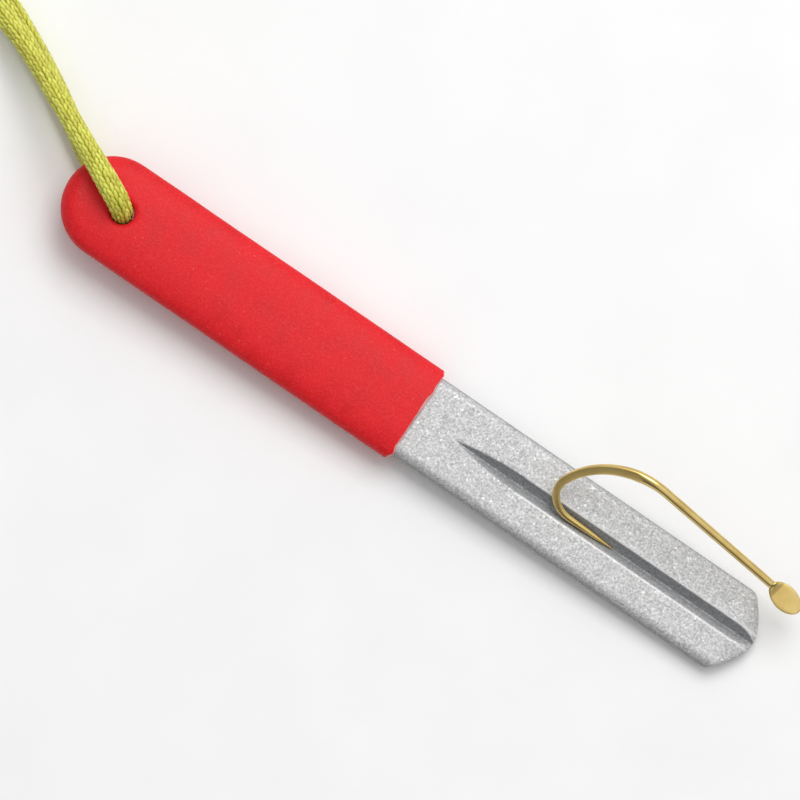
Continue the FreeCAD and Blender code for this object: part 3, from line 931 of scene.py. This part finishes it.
def make_blade():
    mesh = remeshed("sharpening_blade", BLADE_VOXEL, BLADE_CUT_X)
    softened(mesh, EDGE_SOFTENING, np.abs(to_tool(mesh_points(mesh))[:, 1]) > GROOVE_REACH)
    place = to_tool(mesh_points(mesh))
    normals = mesh_normals(mesh)
    worn_and_shaded, rim = blade_wear_shade_and_highlight(place, normals)
    heights = np.array([grain_height(Vector(point)) for point in place])
    near_edge = np.clip(0.5 - place[:, 1] / COARSE_OVER, 0, 1)
    relief = (heights - 0.5) * GRAIN_RELIEF * (COARSE_LEAST + (1 - COARSE_LEAST) * near_edge)
    relief *= 1 - GROUND_OFF * worn_and_shaded
    moved = from_tool(place) + normals * relief[:, None]
    mesh.vertices.foreach_set("co", moved.astype(np.float32).ravel())
    # The mesh carries wear with painted shade, and the painted highlight on the groove's rims, for the
    # grit material to read.
    mark(mesh, "wear_shade_and_highlight", np.stack([worn_and_shaded, rim, np.zeros_like(rim), np.ones_like(rim)], -1))
    mesh.materials.append(GRIT)
    blade = place_piece("blade", mesh, "sharpener")
    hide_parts("sharpening_blade")


def make_tang():
    mesh = remeshed("sharpening_blade", None, BLADE_CUT_X, False)
    mesh.materials.clear()
    mesh.materials.append(GRIT)
    tang = place_piece("tang", mesh, "sharpener")
    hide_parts("sharpening_blade")


make_blade()
make_tang()


# ---------------------------------------------------------------- hook

# The hook lies in a plane of its own, with its point's tip as the origin. It starts at the tip and
# runs back along the point, round the bend and the shoulder, down the shank and into the spade.
HOOK_BEHIND_TIP = 23.1 * MM          # of the blade
HOOK_SUNK = 0.89 * MM                # into the groove
HOOK_PITCH = math.radians(6)         # of its point, down into the groove
HOOK_RISE = math.radians(45)         # of the hook's plane, from the blade's face
POINT_LENGTH = 7.8 * MM
BEND_TURN, BEND_RADIUS = math.radians(104), 4.0 * MM
SHOULDER_TURN, SHOULDER_RADIUS = math.radians(82.9), 10.9 * MM
SHANK_LENGTH = 20.4 * MM
SPADE_ROOT = 0.9 * MM                # the spade starts this far before the end of the shank
SPADE_LENGTH = 5.6 * MM
SPADE_HALF_WIDTH = 1.74 * MM
SPADE_HALF_THICKNESS = 0.24 * MM
SPADE_DROOP = math.radians(5)
SPADE_TURN = math.radians(40)
SPADE_BENT = 0.4 * SPADE_ROOT        # before the end of the shank, where the droop and turn are done
SPADE_PRESSED = 1.3 * MM             # the wire turns flat over this length
SPADE_EGG = 1.9                      # exponent of the spade's outline, 2 for an ellipse
SPADE_SQUARE = 3.4                   # and of its section
SPADE_RIM = 0.97                     # past this share of its length the spade thins,
SPADE_RIM_THIN = 0.3                 # to this share of its thickness
SPADE_DISH = 0.3                     # its middle is thinner by this share
PRESSED_SQUARE, PRESSED_FADE = 2.6, 0.8    # the gold turns satin from this squareness, over this range
BEND_START = POINT_LENGTH
SHOULDER_START = BEND_START + BEND_TURN * BEND_RADIUS
SHANK_START = SHOULDER_START + SHOULDER_TURN * SHOULDER_RADIUS
NECK = SHANK_START + SHANK_LENGTH
HOOK_END = NECK - SPADE_ROOT + SPADE_LENGTH
HOOK_STEP = 0.08 * MM
HOOK_SIDES = 32

# Along the wire: distance from the tip, half width in the hook's plane, half thickness across it, all
# in millimetres, and how square the section is, from 2 for round
WIRE_STATIONS = [
    (0.0, 0.012, 0.012, 2.0),
    (1.4, 0.19, 0.19, 2.0),
    (3.2, 0.34, 0.34, 2.0),
    (5.4, 0.43, 0.43, 2.1),
    (7.8, 0.48, 0.46, 2.4),
    (12.4, 0.52, 0.41, 3.6),
    (17.0, 0.62, 0.38, 5.0),
    (22.5, 0.75, 0.37, 5.0),
    (26.0, 0.80, 0.42, 4.6),
    (27.2, 0.77, 0.58, 2.8),
    (29.8, 0.68, 0.66, 2.0),
    (36.0, 0.65, 0.65, 2.0),
    (50.0, 0.60, 0.60, 2.0),
]


def hook_axes():
    """Three axes of the hook's plane: along the point, up towards the shank, and across the plane."""
    turn = Matrix.Rotation(HOOK_PITCH, 3, "Y") @ Matrix.Rotation(HOOK_RISE, 3, "X")
    along, up, across = (TOOL_AXES @ turn @ Vector(axis) for axis in ((1, 0, 0), (0, 1, 0), (0, 0, 1)))
    return np.array(along), np.array(up), np.array(across)


def hook_path(distance):
    """The wire's middle and its section's two axes at distances along it."""
    turned = np.interp(distance, [0, BEND_START, SHOULDER_START, SHANK_START, HOOK_END],
                       [0, 0, BEND_TURN, BEND_TURN + SHOULDER_TURN, BEND_TURN + SHOULDER_TURN])
    bent = [0, NECK - SPADE_ROOT, NECK - SPADE_BENT, HOOK_END]
    droop = np.interp(distance, bent, [0, 0, SPADE_DROOP, SPADE_DROOP])[:, None]
    twist = np.interp(distance, bent, [0, 0, SPADE_TURN, SPADE_TURN])[:, None]
    along, up, across = hook_axes()
    heading = math.pi - turned[:, None]
    forward = np.cos(heading) * along + np.sin(heading) * up
    left = -np.sin(heading) * along + np.cos(heading) * up
    side = left * np.cos(twist) - across * np.sin(twist)
    thick = across * np.cos(twist) + left * np.sin(twist)
    wide = side * np.cos(droop) + forward * np.sin(droop)
    forward = forward * np.cos(droop) - side * np.sin(droop)
    steps = (forward[:-1] + forward[1:]) / 2 * HOOK_STEP
    tip = np.array(on_tool(TIP_X - HOOK_BEHIND_TIP, 0, FACE_Z - HOOK_SUNK))
    return tip + np.vstack([np.zeros(3), np.cumsum(steps, axis=0)]), wide, thick


def hook_sizes(distance):
    """The section's half width, half thickness and squareness, and how flat it is, from 0 to 1."""
    station, half_wide, half_thick, square = np.array(WIRE_STATIONS).T
    half_wide = np.interp(distance, station * MM, half_wide * MM)
    half_thick = np.interp(distance, station * MM, half_thick * MM)
    square = np.interp(distance, station * MM, square)
    into_spade = distance - NECK + SPADE_ROOT
    share = np.clip(into_spade / SPADE_LENGTH, 0, 1)
    egg = SPADE_HALF_WIDTH * (1 - np.abs(2 * share - 1) ** SPADE_EGG).clip(0) ** (1 / SPADE_EGG)
    flat = np.clip(into_spade / SPADE_PRESSED, 0, 1)
    wire_left = (1 - share * 3).clip(0)        # none after a third of the spade
    half_wide = np.where(share > 0, np.maximum(egg, half_wide * wire_left), half_wide)
    half_thick = half_thick * (1 - flat) + SPADE_HALF_THICKNESS * flat
    to_end = (1 - share).clip(0) / (1 - SPADE_RIM)
    thinned = SPADE_RIM_THIN + (1 - SPADE_RIM_THIN) * to_end
    half_thick *= np.where(share > SPADE_RIM, thinned, 1)
    return half_wide, half_thick, square * (1 - flat) + SPADE_SQUARE * flat, flat


def make_hook():
    distance = np.arange(0, HOOK_END, HOOK_STEP)
    middle, wide, thick = hook_path(distance)
    half_wide, half_thick, square, flat = hook_sizes(distance)
    angle = np.arange(HOOK_SIDES) * 2 * math.pi / HOOK_SIDES
    power = 2 / square[:, None]
    out = np.sign(np.cos(angle)) * np.abs(np.cos(angle)) ** power
    up = np.sign(np.sin(angle)) * np.abs(np.sin(angle)) ** power
    dished = 1 - flat[:, None] * SPADE_DISH * (1 - out**2)
    rings = (middle[:, None] + (out * half_wide[:, None])[..., None] * wide[:, None]
             + (up * dished * half_thick[:, None])[..., None] * thick[:, None])
    faces = tube_faces(len(middle), HOOK_SIDES)
    hook = mesh_piece("hook", rings.reshape(-1, 3), faces, GOLD, "hook")
    pressed = np.repeat(np.clip((square - PRESSED_SQUARE) / PRESSED_FADE, 0, 1), HOOK_SIDES)
    mark(hook.data, "pressed", np.stack([pressed, pressed, pressed, np.ones_like(pressed)], -1))
    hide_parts("fish_hook")


make_hook()


# ---------------------------------------------------------------- table and light

TABLE_HALF = 1.2
TABLE_DROP = 0.05 * MM       # the table's top lies just clear of the pieces that rest on it
KEY_FROM = (PICTURE_UP + PICTURE_RIGHT * 0.5 + TO_CAMERA * 1.5).normalized()
KEY_DISTANCE = 0.7
KEY_SIZE = 0.45
KEY_POWER = 2.6
SKY_FROM = (TO_CAMERA + PICTURE_UP * 0.52 + PICTURE_RIGHT * 0.3).normalized()
SKY_STRENGTH = 0.95


def make_table():
    corners = [(x * TABLE_HALF, y * TABLE_HALF, 0) for x, y in ((-1, -1), (1, -1), (1, 1), (-1, 1))]
    mesh = bpy.data.meshes.new("table")
    mesh.from_pydata(corners, [], [(0, 1, 2, 3)])
    mesh.materials.append(table_material())
    table = bpy.data.objects.new("table", mesh)
    table.location.z = -TABLE_DROP
    bpy.context.scene.collection.objects.link(table)


def make_key():
    """A soft lamp up and to the right in the picture."""
    data = bpy.data.lights.new("key", "AREA")
    data.size = KEY_SIZE
    data.energy = KEY_POWER
    lamp = bpy.data.objects.new("key", data)
    bpy.context.scene.collection.objects.link(lamp)
    lamp.location = AIM + KEY_FROM * KEY_DISTANCE
    lamp.rotation_mode = "QUATERNION"
    lamp.rotation_quaternion = KEY_FROM.to_track_quat("Z", "Y")


def make_sky():
    """A broad soft sky, brightest at the picture's upper right and dark at its lower left."""
    world = bpy.data.worlds.new("room")
    world.use_nodes = True
    nodes, links = world.node_tree.nodes, world.node_tree.links
    place = nodes.new("ShaderNodeTexCoord")
    towards = nodes.new("ShaderNodeVectorMath")
    towards.operation = "DOT_PRODUCT"
    towards.inputs[1].default_value = SKY_FROM
    links.new(place.outputs["Generated"], towards.inputs[0])
    share = maths(nodes, links, "MULTIPLY", maths(nodes, links, "ADD", towards.outputs["Value"], 1.0), 0.5)
    sky = ramp(nodes, (0.0, grey(0.14)), (0.5, grey(0.2)), (0.62, grey(0.28)),
               (0.8, grey(0.72)), (1.0, grey(1.0)))
    links.new(share, sky.inputs[0])
    links.new(sky.outputs[0], nodes["Background"].inputs["Color"])
    nodes["Background"].inputs["Strength"].default_value = SKY_STRENGTH
    bpy.context.scene.world = world
    bpy.context.scene.view_settings.view_transform = "Standard"


make_table()
make_key()
make_sky()
